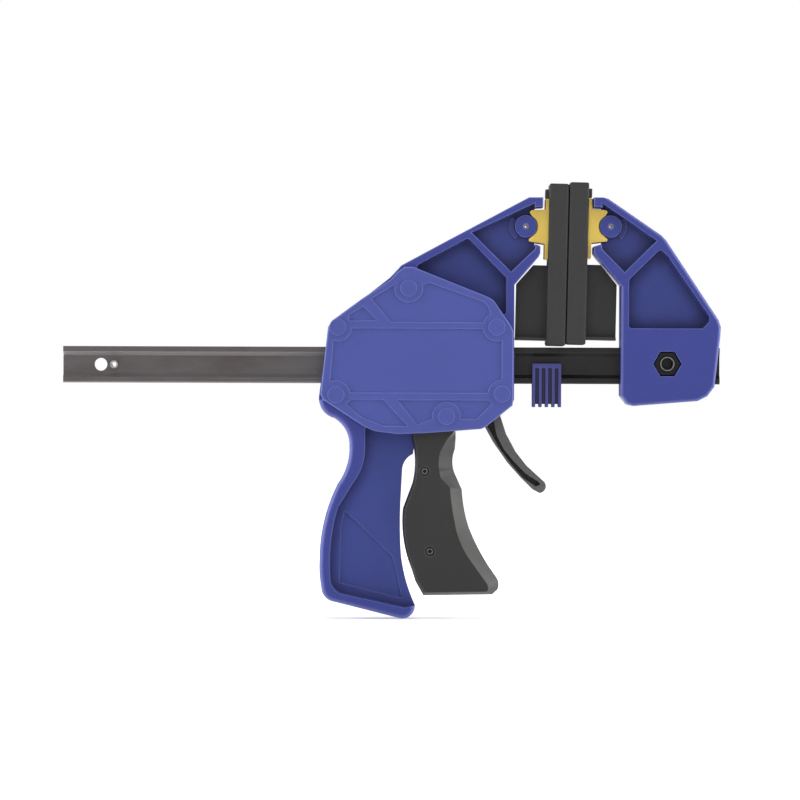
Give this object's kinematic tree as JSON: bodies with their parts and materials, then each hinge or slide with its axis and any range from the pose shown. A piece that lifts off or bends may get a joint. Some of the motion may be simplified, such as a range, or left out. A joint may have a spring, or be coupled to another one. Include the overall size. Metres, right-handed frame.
{
  "type": "quick release bar clamp",
  "caption": "One-handed quick release bar clamp with swivelling pads, a squeeze trigger, a release lever and a sliding clip on an I-section bar.",
  "frame": {"origin": "centre of the hang hole in the bar's tail, on the bar's axis", "axes": "+X along the bar towards the fixed jaw, +Z from the bar to the jaw tips, +Y away from the pictured side and along the hang hole"},
  "size_m": [0.4, 0.0489, 0.2654],
  "materials": {
    "bar_steel": "dark phosphated, slightly shiny on the edges",
    "blue_nylon": "satin moulded nylon",
    "dark_nylon": "matt moulded nylon",
    "yellow_nylon": "satin moulded nylon",
    "stiff_grey": "matt",
    "pad_rubber": "matt",
    "black_steel": "black oxide",
    "zinc_steel": "bright zinc",
    "spring_steel": "drawn wire"
  },
  "bodies": {
    "bar": {"bar": "bar_steel", "tail_stop_pin": "bar_steel", "fixed_jaw": "blue_nylon", "jaw_bolt": "black_steel", "jaw_nut": "black_steel", "fixed_pad_pin": "black_steel"},
    "jaw": {"jaw_frame": "blue_nylon", "front_cover": "blue_nylon", "rear_cover": "blue_nylon", "cover_screw_1": "black_steel", "cover_screw_2": "black_steel", "cover_screw_3": "black_steel", "cover_screw_4": "black_steel", "cover_screw_5": "black_steel", "cover_screw_6": "black_steel", "release_lever_pin": "zinc_steel", "trigger_rest_post": "zinc_steel", "trigger_pin": "zinc_steel", "moving_pad_pin": "black_steel", "drive_spring": "spring_steel", "brake_spring": "spring_steel"},
    "trigger": {"trigger_front": "dark_nylon", "trigger_rear": "dark_nylon", "trigger_screw_1": "black_steel", "trigger_screw_2": "black_steel"},
    "drive": {"drive_plate_1": "zinc_steel", "drive_plate_2": "zinc_steel"},
    "brake": {"brake_plate_1": "zinc_steel", "brake_plate_2": "zinc_steel"},
    "release_lever": {"release_lever": "dark_nylon"},
    "moving_pad": {"moving_pad_swivel": "yellow_nylon", "moving_pad_base": "stiff_grey", "moving_pad_cushion": "pad_rubber"},
    "fixed_pad": {"fixed_pad_swivel": "yellow_nylon", "fixed_pad_base": "stiff_grey", "fixed_pad_cushion": "pad_rubber"},
    "clip": {"bar_clip": "blue_nylon"}
  },
  "joints": [
    {"name": "jaw_slide", "type": "slide", "parent": "bar", "child": "jaw", "axis": [-1, 0, 0], "range_m": [0, 0.15]},
    {"name": "fixed_pad_tilt", "type": "hinge", "parent": "bar", "child": "fixed_pad", "pos_m": [0.3102, 0, 0.0846], "axis": [0, 1, 0], "range_deg": [-1.9, 0.4]},
    {"name": "moving_pad_tilt", "type": "hinge", "parent": "jaw", "child": "moving_pad", "pos_m": [0.2586, 0, 0.0846], "axis": [0, 1, 0], "range_deg": [-1.9, 0.4]},
    {"name": "trigger_pull", "type": "hinge", "parent": "jaw", "child": "trigger", "pos_m": [0.2007, 0, 0.0289], "axis": [0, 1, 0], "range_deg": [0, 5.5], "stiffness_Nm_per_rad": 6, "springref_deg": -8.59},
    {"name": "drive_push", "type": "slide", "parent": "jaw", "child": "drive", "axis": [-1, 0, 0], "range_m": [0, 0.00278], "deforming": ["drive_spring"]},
    {"name": "lever_press", "type": "hinge", "parent": "jaw", "child": "release_lever", "pos_m": [0.2443, 0, -0.0174], "axis": [0, 1, 0], "range_deg": [0, 12], "stiffness_Nm_per_rad": 0.3, "springref_deg": -8.59},
    {"name": "brake_tilt", "type": "hinge", "parent": "jaw", "child": "brake", "pos_m": [0.2361, 0, 0.019], "axis": [0, 1, 0], "range_deg": [0, 2.1]},
    {"name": "clip_slide", "type": "slide", "parent": "bar", "child": "clip", "axis": [1, 0, 0], "range_m": [-0.01, 0.033]}
  ],
  "couplings": [
    {"joint": "moving_pad_tilt", "follows": "fixed_pad_tilt", "ratio": 1},
    {"joint": "drive_push", "follows": "trigger_pull", "m_per_rad": 0.0289},
    {"joint": "brake_tilt", "follows": "lever_press", "ratio": 0.17}
  ]
}
